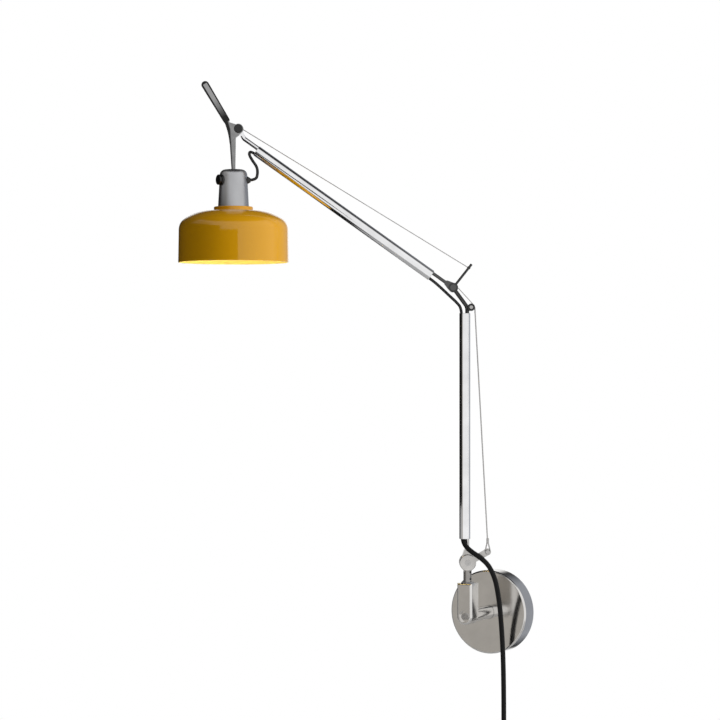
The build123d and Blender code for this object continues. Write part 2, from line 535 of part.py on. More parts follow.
# ---------------------------------------------------------------- head
def head_parts():
    handle = link(HANDLE_TIP, HANDLE_TIP_R, HANDLE_NECK, HANDLE_NECK_R, -HANDLE_T / 2, HANDLE_T / 2)
    inset = (HANDLE_TIP_R - HANDLE_RIM, HANDLE_NECK_R - HANDLE_RIM)
    for low in (-HANDLE_T / 2, HANDLE_T / 2 - GROOVE_DEPTH):
        handle -= link(HANDLE_TIP, inset[0], HANDLE_NECK, inset[1], low, low + GROOVE_DEPTH)
    tangent = (BOSS_R * sin(radians(42)), -BOSS_R * cos(radians(42)))
    crest = (-BOSS_R * sin(radians(30)), BOSS_R * cos(radians(30)))
    outline = ThreePointArc(WEB_LEFT, WEB_WAIST, WEB_FOOT)
    outline += Polyline(WEB_FOOT, tangent, crest, WEB_TOP, WEB_LEFT)
    web = slab(make_face(outline), -HEAD_T / 2, HEAD_T / 2)
    web += cross_pin(0, 0, BOSS_R, -HEAD_T / 2, HEAD_T / 2)
    web -= cross_pin(0, 0, SLOT_R, -HEAD_EYE_T / 2 - CLEAR, HEAD_EYE_T / 2 + CLEAR)
    foot = -SHADE_AXIS
    stem_top = (WEB_FOOT[0] + STEM_TOP_W, WEB_FOOT[1] + STEM_TOP_W * cos(radians(42)))
    stem = Polygon(
        (WEB_FOOT[0], WEB_FOOT[1] + STEM_BITE),
        (stem_top[0], stem_top[1] + STEM_BITE),
        (foot + STEM_FOOT_W / 2, -STEM_DROP),
        (foot - STEM_FOOT_W / 2, -STEM_DROP),
        align=None,
    )
    casting = handle + web + slab(stem, -STEM_T / 2, STEM_T / 2)
    casting += Pos(foot, 0, 0) * upright(STUD_R, -STEM_DROP - STUD_LENGTH, -STEM_DROP + STEM_BITE)
    casting -= cross_pin(0, 0, HEAD_BOLT_R + RUN_FIT, -HEAD_T, HEAD_T)
    keep("head_casting", HEAD_FRAME * casting)
    bolt = cross_pin(0, 0, HEAD_BOLT_R, -HEAD_T / 2 - HEAD_KNOB_T / 2, HEAD_T / 2)
    bolt += cross_pin(0, 0, 2 * HEAD_BOLT_R, HEAD_T / 2, HEAD_T / 2 + 2)
    keep("head_bolt", HEAD_FRAME * bolt)
    knob = cross_pin(0, 0, HEAD_KNOB_R, -HEAD_T / 2 - HEAD_KNOB_T, -HEAD_T / 2)
    knob = chamfer(knob.faces().sort_by(Axis.Y)[0].edges(), HEAD_KNOB_T / 5)
    knob -= cross_pin(0, 0, HEAD_BOLT_R, -HEAD_T / 2 - HEAD_KNOB_T / 2, -HEAD_T / 2)
    keep("head_knob", HEAD_FRAME * knob)


def radial(turn, radius, low, high):
    """A cylinder pointing out from the lamp axis at the fittings' height."""
    return Rot(0, 0, turn) * Pos(low, 0, -FITTING_DROP) * Rot(0, 90, 0) * extrude(Circle(radius), amount=high - low)


def cup_profile(wall):
    """Half section of the cup's outside, set in by a wall."""
    top = -wall
    shoulder = CUP_SHOULDER - wall
    side = CUP_TOP_R - wall
    arc = ThreePointArc(
        (side - shoulder, top),
        (side - shoulder + shoulder * sin(radians(45)), top - shoulder * (1 - cos(radians(45)))),
        (side, top - shoulder),
    )
    line = Polyline((side, top - shoulder), (CUP_R - wall, -CUP_HEIGHT), (0, -CUP_HEIGHT), (0, top), (side - shoulder, top))
    return make_face(arc + line)


def lamp_parts():
    outside = turned(cup_profile(0))
    cup = outside - turned(cup_profile(CUP_WALL))
    cup -= upright(STUD_R + RUN_FIT, -CUP_WALL, 0)
    cup -= radial(BUTTON_TURN, SWITCH_R + RUN_FIT, 0, CUP_R + 2)
    cup -= radial(0, GLAND_R + RUN_FIT, 0, CUP_R + 2)
    keep("socket_cup", LAMP_AXIS * cup)
    nut = Pos(0, 0, -CUP_WALL - NUT_T) * extrude(RegularPolygon(2 * STUD_R, 6), amount=NUT_T)
    keep("stem_nut", LAMP_AXIS * (nut - upright(STUD_R + RUN_FIT, -CUP_WALL - NUT_T, -CUP_WALL)))

    fitting_r = CUP_TOP_R + (CUP_R - CUP_TOP_R) * (FITTING_DROP - CUP_SHOULDER) / (CUP_HEIGHT - CUP_SHOULDER)
    switch_end = fitting_r + SWITCH_PROUD
    barrel = radial(BUTTON_TURN, SWITCH_R, switch_end - SWITCH_DEPTH, switch_end)
    well = switch_end - SWITCH_DEPTH + 2
    barrel -= radial(BUTTON_TURN, BUTTON_R + CLEAR, well, switch_end)
    keep("switch_barrel", LAMP_AXIS * barrel)
    button = radial(BUTTON_TURN, BUTTON_R, well + BUTTON_TRAVEL + CLEAR, switch_end + BUTTON_TRAVEL + CLEAR)
    head_foot = switch_end + BUTTON_TRAVEL + CLEAR
    cap = radial(BUTTON_TURN, BUTTON_HEAD_R, head_foot, head_foot + BUTTON_HEAD_T)
    cap = chamfer(cap.edges().filter_by(GeomType.CIRCLE).sort_by(Axis.X)[0], BUTTON_HEAD_T / 4)
    keep("switch_button", LAMP_AXIS * (button + cap))
    gland = radial(0, GLAND_R, fitting_r - GLAND_LENGTH, fitting_r)
    cone = Rot(0, 90, 0) * Cone(GLAND_CONE_R, GLAND_TIP_R, GLAND_LENGTH + 1)
    gland += Pos(fitting_r + GLAND_LENGTH / 2, 0, -FITTING_DROP) * cone - outside
    gland -= radial(0, LEAD_R, fitting_r - GLAND_LENGTH, CUP_R + 2 * GLAND_LENGTH)
    keep("lead_gland", LAMP_AXIS * gland)

    holder_foot = -HOLDER_TOP - HOLDER_LENGTH
    holder = upright(HOLDER_R, holder_foot, -HOLDER_TOP)
    holder -= upright(STUD_R + RUN_FIT, -STUD_LENGTH, -HOLDER_TOP)
    holder -= upright(HOLDER_BORE_R, holder_foot, holder_foot + BULB_CAP_LENGTH)
    keep("lamp_holder", LAMP_AXIS * holder)
    ring_foot = -CUP_HEIGHT - RING_HEIGHT
    ring = upright(RING_R, ring_foot, -CUP_HEIGHT) - upright(HOLDER_R + RUN_FIT, ring_foot, -CUP_HEIGHT)
    ring = fillet(ring.edges().filter_by(GeomType.CIRCLE).sort_by(SortBy.RADIUS)[-2:], 1)
    keep("shade_ring", LAMP_AXIS * ring)
    nut = upright(SHADE_NUT_R, ring_foot - SHADE_WALL - SHADE_NUT_T, ring_foot - SHADE_WALL)
    nut -= upright(HOLDER_R + RUN_FIT, ring_foot - SHADE_WALL - SHADE_NUT_T, ring_foot - SHADE_WALL)
    keep("shade_nut", LAMP_AXIS * nut)
    shade = turned(shade_profile(0)) - turned(shade_profile(SHADE_WALL))
    shade -= upright(HOLDER_R + RUN_FIT, -SHADE_WALL, 0)
    keep("shade", LAMP_AXIS * Pos(0, 0, ring_foot) * shade)

    cap = upright(BULB_CAP_R, holder_foot, holder_foot + BULB_CAP_LENGTH - 3)
    cap += upright(BULB_CAP_R / 3, holder_foot, holder_foot + BULB_CAP_LENGTH)
    keep("bulb_cap", LAMP_AXIS * cap)
    globe = Pos(0, 0, -BULB_DROP) * Sphere(BULB_R)
    neck = Pos(0, 0, (holder_foot - BULB_DROP) / 2) * Cone(BULB_R * 0.8, BULB_NECK_R, BULB_DROP + holder_foot)
    globe += neck & upright(BULB_R, -BULB_DROP, holder_foot)
    keep("bulb", LAMP_AXIS * globe)


def shade_profile(wall):
    """Half section of the shade, crown on Z = 0, open at the foot."""
    crown = SHADE_CROWN_R
    width = SHADE_R - SHADE_LEAN - crown - wall
    height = SHADE_HEIGHT - SHADE_SIDE - wall
    corner = (crown + width * sin(radians(45)), -wall - height * (1 - cos(radians(45))))
    upper = Line((0, -wall), (crown, -wall))
    shoulder = Spline((crown, -wall), corner, (crown + width, -wall - height), tangents=((1, 0), (0, -1)))
    lower = Polyline((crown + width, -wall - height), (SHADE_R - wall, -SHADE_HEIGHT), (0, -SHADE_HEIGHT), (0, -wall))
    return make_face(upper + shoulder + lower)


# ---------------------------------------------------------------- wires
def wire_parts():
    reach = PULLEY_R - PULLEY_GROOVE + LOOP_WIRE_R + RUN_FIT
    top = (PULLEY[0] + reach, PULLEY[1])
    start = (LEVER_END[0], LEVER_END[1] + LOOP_RISE)
    loop = FilletPolyline(
        (start[0] - LOOP_WIRE_R, HOOK_Y, start[1]),
        (LEVER_END[0] - LOOP_HALF, HOOK_Y, LEVER_END[1] + HOOK_PIN_R),
        (LEVER_END[0] - LOOP_HALF / 2, HOOK_Y, LEVER_END[1] - LOOP_DROP),
        (LEVER_END[0] + LOOP_HALF / 2, HOOK_Y, LEVER_END[1] - LOOP_DROP),
        (LEVER_END[0] + LOOP_HALF, HOOK_Y, LEVER_END[1] + HOOK_PIN_R),
        (start[0] + LOOP_WIRE_R, HOOK_Y, start[1]),
        radius=LOOP_WIRE_R * 1.5,
    )
    wire = tube_along(loop, LOOP_WIRE_R)
    wire += rod((start[0], HOOK_Y, start[1] - LOOP_WIRE_R), (top[0], PULLEY_Y, top[1]), LOOP_WIRE_R)
    wire += rod((start[0], HOOK_Y, start[1] - 1), (start[0], HOOK_Y, start[1] + FERRULE), 2 * LOOP_WIRE_R)
    keep("lower_wire", SWIVEL * wire)

    end = (HEAD[0] + HEAD_KNOB_R + 1, HEAD[1] - 2)
    wire_y = UPPER_WIRE_Y - UPPER_LEVER_R - 2 * WIRE_R
    ring_r = PEG_R + RUN_FIT
    eye = Pos(UPPER_HOOK[0], wire_y, UPPER_HOOK[1]) * Rot(90, 0, 0) * Torus(ring_r + WIRE_R, WIRE_R)
    run = (end[0] - UPPER_HOOK[0], end[1] - UPPER_HOOK[1])
    span = hypot(*run)
    first = (UPPER_HOOK[0] + run[0] / span * (ring_r + WIRE_R), UPPER_HOOK[1] + run[1] / span * (ring_r + WIRE_R))
    keep("upper_wire", SWIVEL * (eye + rod((first[0], wire_y, first[1]), (end[0], wire_y, end[1]), WIRE_R)))


# ---------------------------------------------------------------- cords
def bend_radii(points):
    """Each arc as large as its two runs allow."""
    corners = [Vector(*p) for p in points]
    radii = []
    for before, at, after in zip(corners, corners[1:], corners[2:]):
        turn = radians((at - before).get_angle(after - at))
        radii.append(0.45 * min((at - before).length, (after - at).length) / tan(turn / 2))
    return radii


def cord(name, points, radius):
    """A cord's stretch: straight runs joined by tangent arcs; prints its radii and its volume's error."""
    radii = bend_radii(points)
    path = FilletPolyline(*points, radius=radii)
    solid = tube_along(path, radius)
    error = solid.volume / (pi * radius**2 * path.length) - 1
    print(name, "radii", [round(r, 1) for r in radii], "length", round(path.length), "error", round(error, 5))
    return SWIVEL * solid


def cord_parts():
    lead_side = -TUBE_OFFSET - LEAD_SIDE
    plug_top = LOWER_TUBE_TOP - PLUG_INSET
    supply = [
        (-TUBE_OFFSET - CORD_SIDE, 0, LOWER_TUBE_FOOT + PLUG_INSET + PLUG_LENGTH),
        (-TUBE_OFFSET - CORD_SIDE, 0, LOWER_TUBE_FOOT),
        (-3.5, -11, 102),
        (5, -18.5, 94.5),
        (17.5, -20, 86.5),
        (28.5, -18.5, 76.5),
        (35.5, -14, 64),
        (40.6, -7, 50),
        (44.2, 2, 33),
        (47.4, 12, 14),
        (49.6, 19.5, -8),
        (51.8, 26, -34),
        (53.4, 29.2, -66),
        (54.2, 29.6, -110),
        (PLUMB[0], PLUMB[1], -158),
        (PLUMB[0], PLUMB[1], COIL_Z + 2 * SUPPLY_R),
    ]
    keep("supply_cord", cord("supply_cord", supply, SUPPLY_R))
    inner_foot = LOWER_TUBE_FOOT + PLUG_INSET + PLUG_LENGTH
    keep("lower_lead", SWIVEL * rod((lead_side, 0, inner_foot), (lead_side, 0, plug_top), LEAD_R))
    start = upper_point(UPPER_TUBE_START + PLUG_INSET)
    end = upper_point(UPPER_TUBE_START + UPPER_TUBE_LENGTH - PLUG_INSET)
    keep("upper_lead", SWIVEL * rod(start, end, LEAD_R))
    elbow = [(lead_side, 0, plug_top), (lead_side, 0, LOWER_TUBE_TOP + LEAD_EXIT)]
    elbow += [(x, 0, LOWER_TUBE_TOP + z) for x, z in ELBOW_LEAD]
    elbow += [upper_point(UPPER_TUBE_START - LEAD_EXIT), start]
    keep("elbow_lead", cord("elbow_lead", elbow, LEAD_R))
    fitting_r = CUP_TOP_R + (CUP_R - CUP_TOP_R) * (FITTING_DROP - CUP_SHOULDER) / (CUP_HEIGHT - CUP_SHOULDER)
    inlet = (HEAD[0] - SHADE_AXIS + fitting_r - GLAND_LENGTH / 2, 0, HEAD[1] - STEM_DROP - FITTING_DROP)
    head = [end, upper_point(UPPER_TUBE_START + UPPER_TUBE_LENGTH + LEAD_EXIT)]
    head += [(HEAD[0] + x, 0, HEAD[1] + z) for x, z in HEAD_LEAD]
    keep("head_lead", cord("head_lead", head + [inlet], LEAD_R))


def upper_point(reach):
    """A point on the lead's line in the upper tube, in the swivel frame."""
    side = -TUBE_OFFSET - LEAD_SIDE
    return (ELBOW[0] - reach * LIFT_COS + side * LIFT_SIN, 0, ELBOW[1] + reach * LIFT_SIN + side * LIFT_COS)


def coil_path():
    """Half turns that spiral in on the front layer, climb, and spiral out on the back layer."""
    line_x = (SWIVEL * Pos(PLUMB[0], PLUMB[1], 0)).position.X
    front = (SWIVEL * Pos(PLUMB[0], PLUMB[1], 0)).position.Y
    centre = line_x - COIL_R
    steps = [-COIL_PITCH / 2] * (2 * COIL_TURNS - 1) + [-COIL_PITCH / 2] + [COIL_PITCH / 2] * (2 * COIL_TURNS - 1)
    at = Vector(COIL_R, 0)
    radius = COIL_R
    depth = front
    pieces = [Line((line_x, front, COIL_Z + 2 * SUPPLY_R), (line_x, front, COIL_Z))]
    side = 1
    for index in range(len(steps) + 1):
        climb = COIL_PITCH if index == 2 * COIL_TURNS else 0
        middle = at.X - side * radius
        start = (centre + at.X, depth, COIL_Z)
        top = (centre + middle, depth + climb / 2, COIL_Z - side * hypot(radius, climb / 2))
        end = (centre + middle - side * radius, depth + climb, COIL_Z)
        pieces.append(ThreePointArc(start, top, end))
        at = Vector(end[0] - centre, 0)
        depth += climb
        side = -side
        if index < len(steps):
            radius += steps[index]
    last = pieces[-1] @ 1
    pieces.append(Line(last, (last.X, last.Y, last.Z - TAIL)))
    return pieces


def coil_parts():
    pieces = coil_path()
    path = Wire([edge for piece in pieces for edge in piece.edges()])
    coil = tube_along(path, SUPPLY_R)
    error = coil.volume / (pi * SUPPLY_R**2 * path.length) - 1
    print("coil length", round(path.length), "volume error", round(error, 5), "gap", round(least_gap(pieces), 2))
    keep("cord_coil", coil)
    front = pieces[0] @ 0
    centre = front.X - COIL_R
    inner = COIL_R - (COIL_TURNS - 0.5) * COIL_PITCH - SUPPLY_R
    outer = COIL_R - COIL_PITCH / 2 + SUPPLY_R
    reach = COIL_PITCH / 2 + TIE_WIDTH / 2
    inner -= inner - sqrt(inner**2 - reach**2)
    height = outer - inner + 2 * RUN_FIT
    depth = COIL_PITCH + 2 * SUPPLY_R + 2 * RUN_FIT
    hole = Box(TIE_WIDTH, depth, height)
    band = fillet(Box(TIE_WIDTH, depth + 2 * TIE_T, height + 2 * TIE_T).edges().filter_by(Axis.X), TIE_T)
    place = Pos(centre, front.Y + COIL_PITCH / 2, COIL_Z + (inner + outer) / 2)
    keep("cord_tie", place * (band - hole))
    foot = pieces[-1] @ 1
    body = Pos(foot.X, foot.Y, foot.Z - PLUG_BODY) * extrude(Circle(PLUG_R), amount=PLUG_BODY)
    body = chamfer(body.faces().sort_by(Axis.Z)[-1].edges(), PLUG_R / 2)
    for side in (-1, 1):
        pin = Pos(foot.X + side * PLUG_PIN_PITCH / 2, foot.Y, foot.Z - PLUG_BODY - PLUG_PIN_LENGTH)
        body += pin * extrude(Circle(PLUG_PIN_R), amount=PLUG_PIN_LENGTH)
    keep("plug", body)


def least_gap(pieces):
    """Smallest gap of the coil to itself, measured on points of its centre line."""
    marks = []
    along = 0.0
    for piece in pieces:
        count = max(2, int(piece.length / 3))
        for step in range(count):
            marks.append((along + piece.length * step / count, piece @ (step / count)))
        along += piece.length
    apart = 4 * SUPPLY_R
    gaps = [
        (b[1] - a[1]).length
        for index, a in enumerate(marks)
        for b in marks[index + 1:]
        if b[0] - a[0] > apart
    ]
    return min(gaps) - 2 * SUPPLY_R


wall_parts()
bracket_parts()
swivel_parts()
lower_arm_parts()
upper_arm_parts()
head_parts()
lamp_parts()
wire_parts()
cord_parts()
coil_parts()

os.makedirs("parts", exist_ok=True)
for name, shape in PARTS.items():
    export_step(shape, f"parts/{name}.step")
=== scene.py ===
import bpy
import json
from math import cos, pi, radians, sin, tau
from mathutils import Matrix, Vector


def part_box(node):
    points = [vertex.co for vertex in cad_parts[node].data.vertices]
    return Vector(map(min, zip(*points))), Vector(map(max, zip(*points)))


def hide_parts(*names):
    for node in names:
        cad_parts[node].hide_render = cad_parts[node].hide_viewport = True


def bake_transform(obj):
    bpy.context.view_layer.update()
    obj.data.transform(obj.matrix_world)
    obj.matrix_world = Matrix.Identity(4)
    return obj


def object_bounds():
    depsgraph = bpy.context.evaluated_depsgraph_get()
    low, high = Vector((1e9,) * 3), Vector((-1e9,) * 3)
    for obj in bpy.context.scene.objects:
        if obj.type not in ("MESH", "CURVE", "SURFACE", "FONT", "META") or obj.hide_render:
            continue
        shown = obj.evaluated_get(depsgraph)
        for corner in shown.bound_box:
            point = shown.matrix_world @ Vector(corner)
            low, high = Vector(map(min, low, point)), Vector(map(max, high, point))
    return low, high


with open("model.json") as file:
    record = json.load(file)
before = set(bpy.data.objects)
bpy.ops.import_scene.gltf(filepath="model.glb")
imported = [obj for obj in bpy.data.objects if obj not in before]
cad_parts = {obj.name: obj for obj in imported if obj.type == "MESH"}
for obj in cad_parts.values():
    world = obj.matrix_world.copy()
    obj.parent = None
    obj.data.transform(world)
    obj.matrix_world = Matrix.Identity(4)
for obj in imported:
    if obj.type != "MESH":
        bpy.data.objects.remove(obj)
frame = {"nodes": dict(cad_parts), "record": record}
CAD_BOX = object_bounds()
NODES = frame["nodes"]
JOINTS = {joint["name"]: joint for joint in frame["record"]["behaviour"]["joints"]}

# ---------------------------------------------------------------- places, metres
REST = radians(30)                       # arm plane turned out from the wall at rest
SWIVEL = Vector(JOINTS["swivel"]["pos_m"])
SWIVEL.z = 0
RIGHT = Vector((cos(REST), sin(REST), 0))          # along the arm plane, to the photo's right
TOWARDS = Vector((sin(REST), -cos(REST), 0))       # from the arm plane to the camera
UP = Vector((0, 0, 1))
LAMP_LOW, LAMP_HIGH = (Vector(corner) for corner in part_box("shade"))
LAMP = (LAMP_LOW + LAMP_HIGH) / 2                  # on the lamp's axis
SHADE_R = (LAMP_HIGH.x - LAMP_LOW.x) / 2
SHADE_WALL = 0.0012
PIVOT = Vector(JOINTS["head_tilt"]["pos_m"])

# colours that the metal sees beside the tent
RIGHT_CARD = (0.34, 0.36, 0.40, 1)
LEFT_CARD = (0.45, 0.43, 0.40, 1)

# camera
VIEW_CENTRE = (-0.1559, 0.3712)          # in the arm plane, along RIGHT and up
VIEW_DISTANCE = 3.5
FOCAL = 120.7
SENSOR = 36.0
FAR_CLIP = 50

# black cards that only reflections show: radius, first and last turn in degrees, low and high edge
SHADE_CARD = (0.45, -114, 11, LAMP_LOW.z - 0.05, LAMP_HIGH.z)
TUBE_CARD = (0.5, -128, -60, 0.13, 0.62)
CARD_STEPS = 24

# area lamps: direction, distance, size, watts
KEY = (TOWARDS * 0.6 + RIGHT * 1.0 + UP * 0.5, 2.6, 1.4, 26)
FILL = (TOWARDS * 0.8 - RIGHT * 1.1 + UP * 0.3, 2.8, 1.2, 3)

FLOOR_DROP = 0.25                        # below the object
FLOOR_CORNERS = ((-1.6, -1.6), (1.6, -1.6), (1.6, 0.9), (-1.6, 0.9))

# handle, inset and web edges that lay out the casting's painted reflections, beside and above the head's
# pivot in the arm plane
HANDLE_NECK = (-0.0175, 0.0125)
HANDLE_RUN = (-0.0305, 0.051)
INSET_SIDES = (-0.0030, 0.0036)
INSET_END = 0.0615
WEB_UPPER = (-0.309, -0.0126)            # edge of the painted highlight on the web and stem: slope and place
WEB_LOWER = (-0.06, -0.0125)

GOLD = ((0.80, 0.385, 0.002, 1), (0.72, 0.34, 0.001, 1))
LINING = ((0.9, 0.79, 0.3, 1), (0.86, 0.74, 0.24, 1))
BULB_GLOW = 9.0

# supply cord, in the swivel frame
CORD_R = 0.0036
CORD_SIDES = 16
CORD_ROUTE = (
    (-0.0072, 0, 0.132),
    (-0.0072, 0, 0.112),
    (-0.0035, -0.011, 0.102),
    (0.005, -0.0185, 0.0945),
    (0.0175, -0.02, 0.0865),
    (0.0285, -0.0185, 0.0765),
    (0.0355, -0.014, 0.064),
    (0.0406, -0.007, 0.05),
    (0.0442, 0.002, 0.033),
    (0.0474, 0.012, 0.014),
    (0.0496, 0.0195, -0.008),
    (0.0518, 0.026, -0.034),
    (0.0534, 0.0292, -0.066),
    (0.0542, 0.0296, -0.11),
    (0.0544, 0.0297, -0.158),
)
CORD_CUT = 0.0865                        # height where the cord is cut into its two pieces
PLUMB = (0.0544, 0.0297)                 # where it hangs straight down
COIL_R = 0.050
COIL_PITCH = 0.0077
COIL_TURNS = 3                           # in each of the two layers
COIL_Z = -0.215
COIL_STEPS = 8                           # points in each half turn
TAIL = 0.062                             # from the coil down to the plug
BRAID_YARNS = 8                          # round the cord, each way
BRAID_RISE = 0.0034

# leads across the elbow and the head's hinge, in the swivel frame
LEAD_R = 0.0021
ELBOW_LEAD = (
    (-0.0087, 0, 0.433),
    (-0.0087, 0, 0.446),
    (-0.0155, 0, 0.4545),
    (-0.0265, 0, 0.4645),
    (-0.038, 0, 0.4755),
    (-0.0497, 0, 0.4858),
    (-0.0602, 0, 0.4933),
)
HEAD_LEAD = (
    (-0.3037, 0, 0.6669),
    (-0.3143, 0, 0.6745),
    (-0.3173, 0, 0.6697),
    (-0.3116, 0, 0.6598),
    (-0.3053, 0, 0.6513),
    (-0.3041, 0, 0.6418),
    (-0.3068, 0, 0.6318),
    (-0.3209, 0, 0.6318),
)
ELBOW_BEND = ((-0.01, 0, 0.445), (-0.045, 0, 0.482))

# where the head's lead bends, in the row frame
HEAD_BEND = (PIVOT + RIGHT * 0.0148 - UP * 0.038, PIVOT + RIGHT * 0.0253 - UP * 0.0735)


def in_arm_frame(x, y, z):
    """A point of the swivel frame, in the row frame."""
    return SWIVEL + RIGHT * x - TOWARDS * y + UP * z


# ---------------------------------------------------------------- camera, light, floor
def view_target():
    """The middle of the view, in the row frame."""
    return in_arm_frame(VIEW_CENTRE[0], 0, VIEW_CENTRE[1])


def make_camera():
    data = bpy.data.cameras.new("camera")
    data.lens = FOCAL
    data.sensor_width = SENSOR
    data.clip_end = FAR_CLIP
    camera = bpy.data.objects.new("camera", data)
    bpy.context.collection.objects.link(camera)
    target = view_target()
    camera.location = target + TOWARDS * VIEW_DISTANCE
    camera.rotation_euler = (-TOWARDS).to_track_quat("-Z", "Y").to_euler()
    bpy.context.scene.camera = camera


def make_lamp(name, direction, distance, size, power):
    """A square lamp aimed at the middle of the view, which reflections don't show."""
    data = bpy.data.lights.new(name, "AREA")
    data.size = size
    data.energy = power
    lamp = bpy.data.objects.new(name, data)
    bpy.context.collection.objects.link(lamp)
    target = view_target()
    lamp.location = target + direction.normalized() * distance
    lamp.rotation_euler = (-direction).to_track_quat("-Z", "Y").to_euler()
    lamp.visible_glossy = False


class Graph:
    """Short calls for building a node tree."""

    def __init__(self, tree):
        self.tree = tree
        tree.nodes.clear()

    def node(self, kind, inputs=None, **settings):
        made = self.tree.nodes.new(kind)
        for key, value in settings.items():
            setattr(made, key, value)
        for key, value in (inputs or {}).items():
            self.set(made.inputs[key], value)
        return made

    def set(self, socket, value):
        if isinstance(value, bpy.types.NodeSocket):
            self.tree.links.new(value, socket)
        else:
            socket.default_value = value

    def math(self, operation, a, b=0.0, c=0.0, clamp=False):
        made = self.node("ShaderNodeMath", operation=operation, use_clamp=clamp)
        for socket, value in zip(made.inputs, (a, b, c)):
            self.set(socket, value)
        return made.outputs[0]

    def ramp(self, factor, stops):
        made = self.node("ShaderNodeValToRGB", {"Fac": factor})
        band = made.color_ramp
        while len(band.elements) < len(stops):
            band.elements.new(0.5)
        for element, (position, colour) in zip(band.elements, stops):
            element.position = position
            element.color = colour if len(colour) == 4 else (*colour, 1)
        return made.outputs["Color"]

    def mix(self, factor, a, b, kind="MIX"):
        made = self.node("ShaderNodeMix", data_type="RGBA", blend_type=kind)
        self.set(made.inputs[0], factor)
        self.set(made.inputs[6], a)
        self.set(made.inputs[7], b)
        return made.outputs[2]

    def noise(self, vector, scale, detail=3.0, roughness=0.5):
        inputs = {"Vector": vector, "Scale": scale, "Detail": detail, "Roughness": roughness}
        return self.node("ShaderNodeTexNoise", inputs).outputs["Fac"]

    def dot(self, a, b):
        return self.node("ShaderNodeVectorMath", {0: a, 1: b}, operation="DOT_PRODUCT").outputs["Value"]

    def bump(self, height, strength, distance=0.0002):
        inputs = {"Height": height, "Strength": strength, "Distance": distance}
        return self.node("ShaderNodeBump", inputs).outputs[0]

    def stretched(self, vector, scale):
        return self.node("ShaderNodeMapping", {"Vector": vector, "Scale": scale}).outputs[0]


def grey(value):
    return (value, value, value, 1)


def make_world():
    """White backdrop and a light tent; metal also sees dark cards round it.

    Paint gets most of its light from the right.
    """
    world = bpy.data.worlds.new("studio")
    bpy.context.scene.world = world
    world.use_nodes = True
    graph = Graph(world.node_tree)
    direction = graph.node("ShaderNodeTexCoord").outputs["Generated"]

    def facing(axis):
        """0 for rays against the axis, 1 for rays along it."""
        return graph.math("ADD", graph.math("MULTIPLY", graph.dot(direction, axis), 0.5), 0.5)

    def product(a, b):
        return graph.mix(1.0, a, b, "MULTIPLY")

    behind = graph.ramp(
        facing(-TOWARDS),
        [
            (0.0, grey(0.93)),
            (0.5, grey(1)),
            (0.58, grey(0.9)),
            (0.66, grey(0.02)),
            (0.955, grey(0.02)),
            (0.975, grey(1)),
        ],
    )
    rightness = graph.ramp(facing(RIGHT), [(0.62, grey(0)), (0.78, grey(1))])
    behind = graph.mix(rightness, behind, graph.mix(1.0, behind, RIGHT_CARD, "LIGHTEN"))
    left = graph.ramp(
        facing(-RIGHT),
        [(0.0, grey(1)), (0.80, grey(1)), (0.88, LEFT_CARD), (0.945, LEFT_CARD), (0.975, grey(0.4))],
    )
    above = graph.ramp(facing(UP), [(0.0, grey(1)), (0.86, grey(1)), (0.91, grey(0.02))])
    below = graph.ramp(facing(-UP), [(0.0, grey(1)), (0.87, grey(1)), (0.92, grey(0.05))])
    cards = product(product(behind, left), product(above, below))
    path = graph.node("ShaderNodeLightPath")
    seen = graph.mix(path.outputs["Is Camera Ray"], cards, grey(1))
    shown = graph.math("MAXIMUM", path.outputs["Is Camera Ray"], path.outputs["Is Glossy Ray"])
    shown = graph.math("MAXIMUM", shown, path.outputs["Is Transmission Ray"])
    soft = graph.ramp(facing(RIGHT), [(0.0, grey(0.04)), (0.5, grey(0.26)), (0.95, grey(1.1))])
    back = graph.node("ShaderNodeBackground", {"Color": graph.mix(shown, soft, seen), "Strength": 1.0})
    graph.node("ShaderNodeOutputWorld", {"Surface": back.outputs[0]})


def make_card(name, centre, radius, first, last, low, high):
    """A curved black card; its turns are from the camera's side to the right, in degrees."""
    verts = []
    for step in range(CARD_STEPS + 1):
        turn = radians(first + (last - first) * step / CARD_STEPS)
        spot = centre + (TOWARDS * cos(turn) + RIGHT * sin(turn)) * radius
        verts += [(spot.x, spot.y, low), (spot.x, spot.y, high)]
    faces = [(2 * k, 2 * k + 2, 2 * k + 3, 2 * k + 1) for k in range(CARD_STEPS)]
    mesh = bpy.data.meshes.new(name)
    mesh.from_pydata(verts, [], faces)
    card = bpy.data.objects.new(name, mesh)
    bpy.context.collection.objects.link(card)
    card.visible_camera = False
    card.visible_diffuse = False
    card.visible_shadow = False
    card.visible_transmission = False
    material = bpy.data.materials.new(name)
    material.use_nodes = True
    shader = material.node_tree.nodes["Principled BSDF"]
    shader.inputs["Base Color"].default_value = grey(0.01)
    shader.inputs["Roughness"].default_value = 1.0
    shader.inputs["Specular IOR Level"].default_value = 0.0
    mesh.materials.append(material)


def make_floor():
    floor_z = CAD_BOX[0][2] - FLOOR_DROP
    mesh = bpy.data.meshes.new("floor")
    corners = [(x, y, floor_z) for x, y in FLOOR_CORNERS]
    mesh.from_pydata(corners, [], [(0, 1, 2, 3)])
    floor = bpy.data.objects.new("floor", mesh)
    bpy.context.collection.objects.link(floor)
    material = bpy.data.materials.new("floor_pale")
    material.use_nodes = True
    shader = material.node_tree.nodes["Principled BSDF"]
    shader.inputs["Base Color"].default_value = grey(0.8)
    shader.inputs["Roughness"].default_value = 0.9
    mesh.materials.append(material)


# ---------------------------------------------------------------- materials
def start_material(name):
    """A material with its graph, its shader and the place on the object."""
    material = bpy.data.materials.new(name)
    material.use_nodes = True
    graph = Graph(material.node_tree)
    shader = graph.node("ShaderNodeBsdfPrincipled")
    graph.node("ShaderNodeOutputMaterial", {"Surface": shader.outputs[0]})
    place = graph.node("ShaderNodeTexCoord").outputs["Object"]
    return material, graph, shader, place


